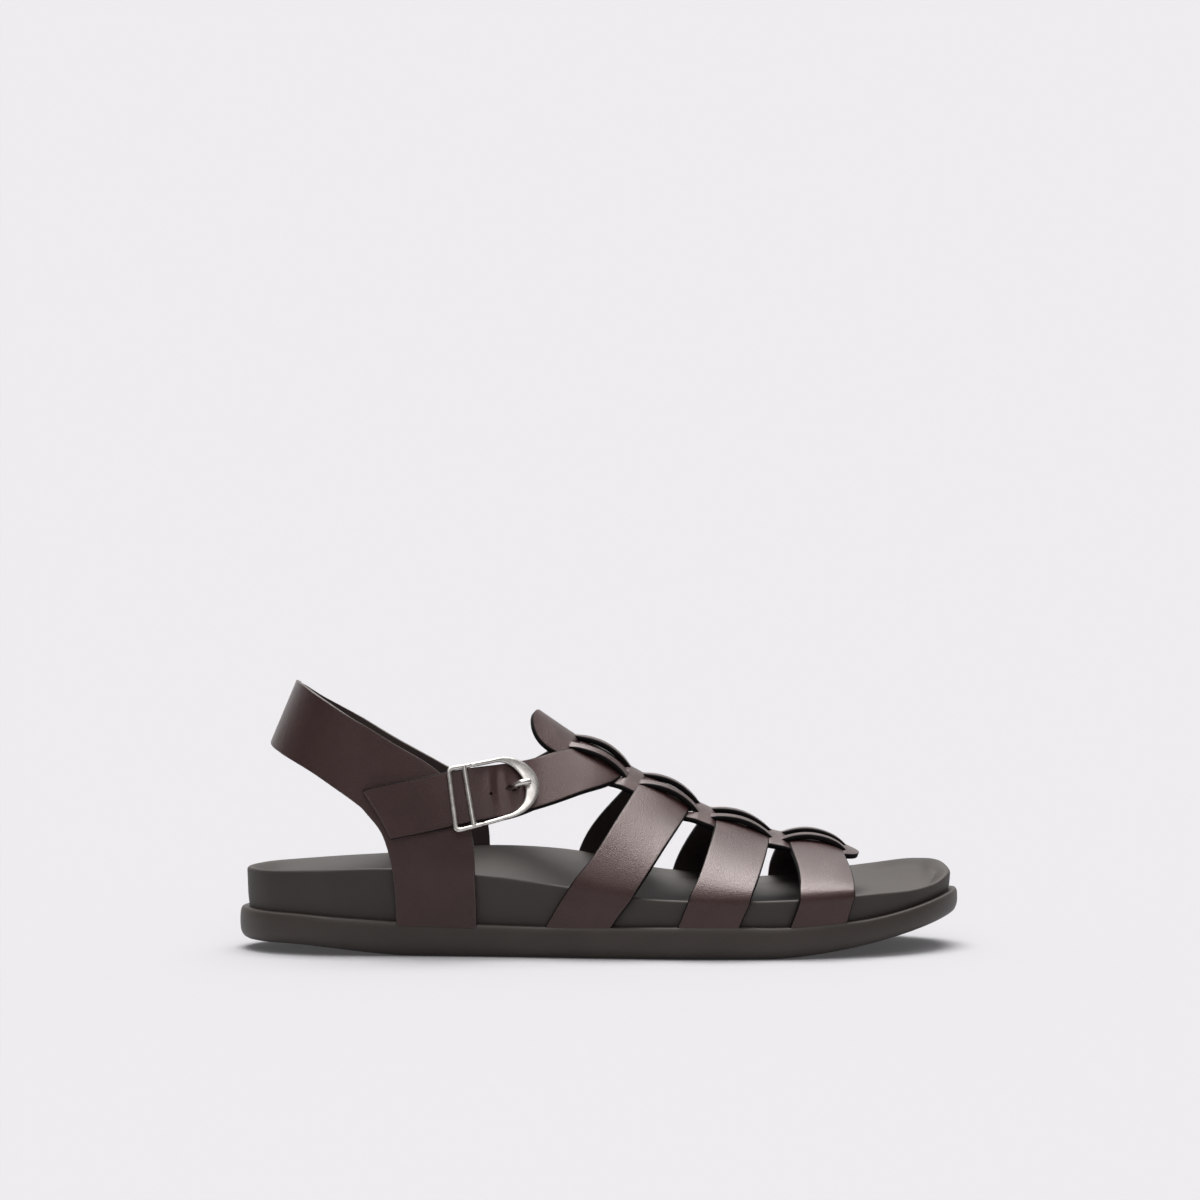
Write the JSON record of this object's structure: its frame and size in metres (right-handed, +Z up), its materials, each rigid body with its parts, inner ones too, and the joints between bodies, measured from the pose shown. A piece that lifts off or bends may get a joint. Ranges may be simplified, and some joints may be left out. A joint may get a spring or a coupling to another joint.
{
  "type": "woven leather sandal",
  "caption": "Right-foot leather sandal with a slit spine woven over cross straps, a buckled ankle strap, a heel sling and a contoured footbed.",
  "frame": {"origin": "on the floor, under the middle of the sole's length and width", "axes": "+Z up, +X from the heel to the toe, -Y the outer side of the foot, where the buckle is"},
  "size_m": [0.2946, 0.1066, 0.1109],
  "materials": {
    "outsole": "matt dark brown moulded rubber",
    "footbed": "matt dark grey-brown moulded foam",
    "upper_leather": "smooth dark brown leather with a soft sheen and black painted edges",
    "sling_leather": "smooth dark brown leather with a soft sheen and black painted edges",
    "buckle_metal": "satin nickel plate",
    "prong_metal": "bright nickel plate"
  },
  "bodies": {
    "root": {"outsole": "outsole", "footbed": "footbed", "upper": "upper_leather", "heel_sling": "sling_leather", "buckle_frame": "buckle_metal", "buckle_prong": "prong_metal"}
  },
  "joints": []
}
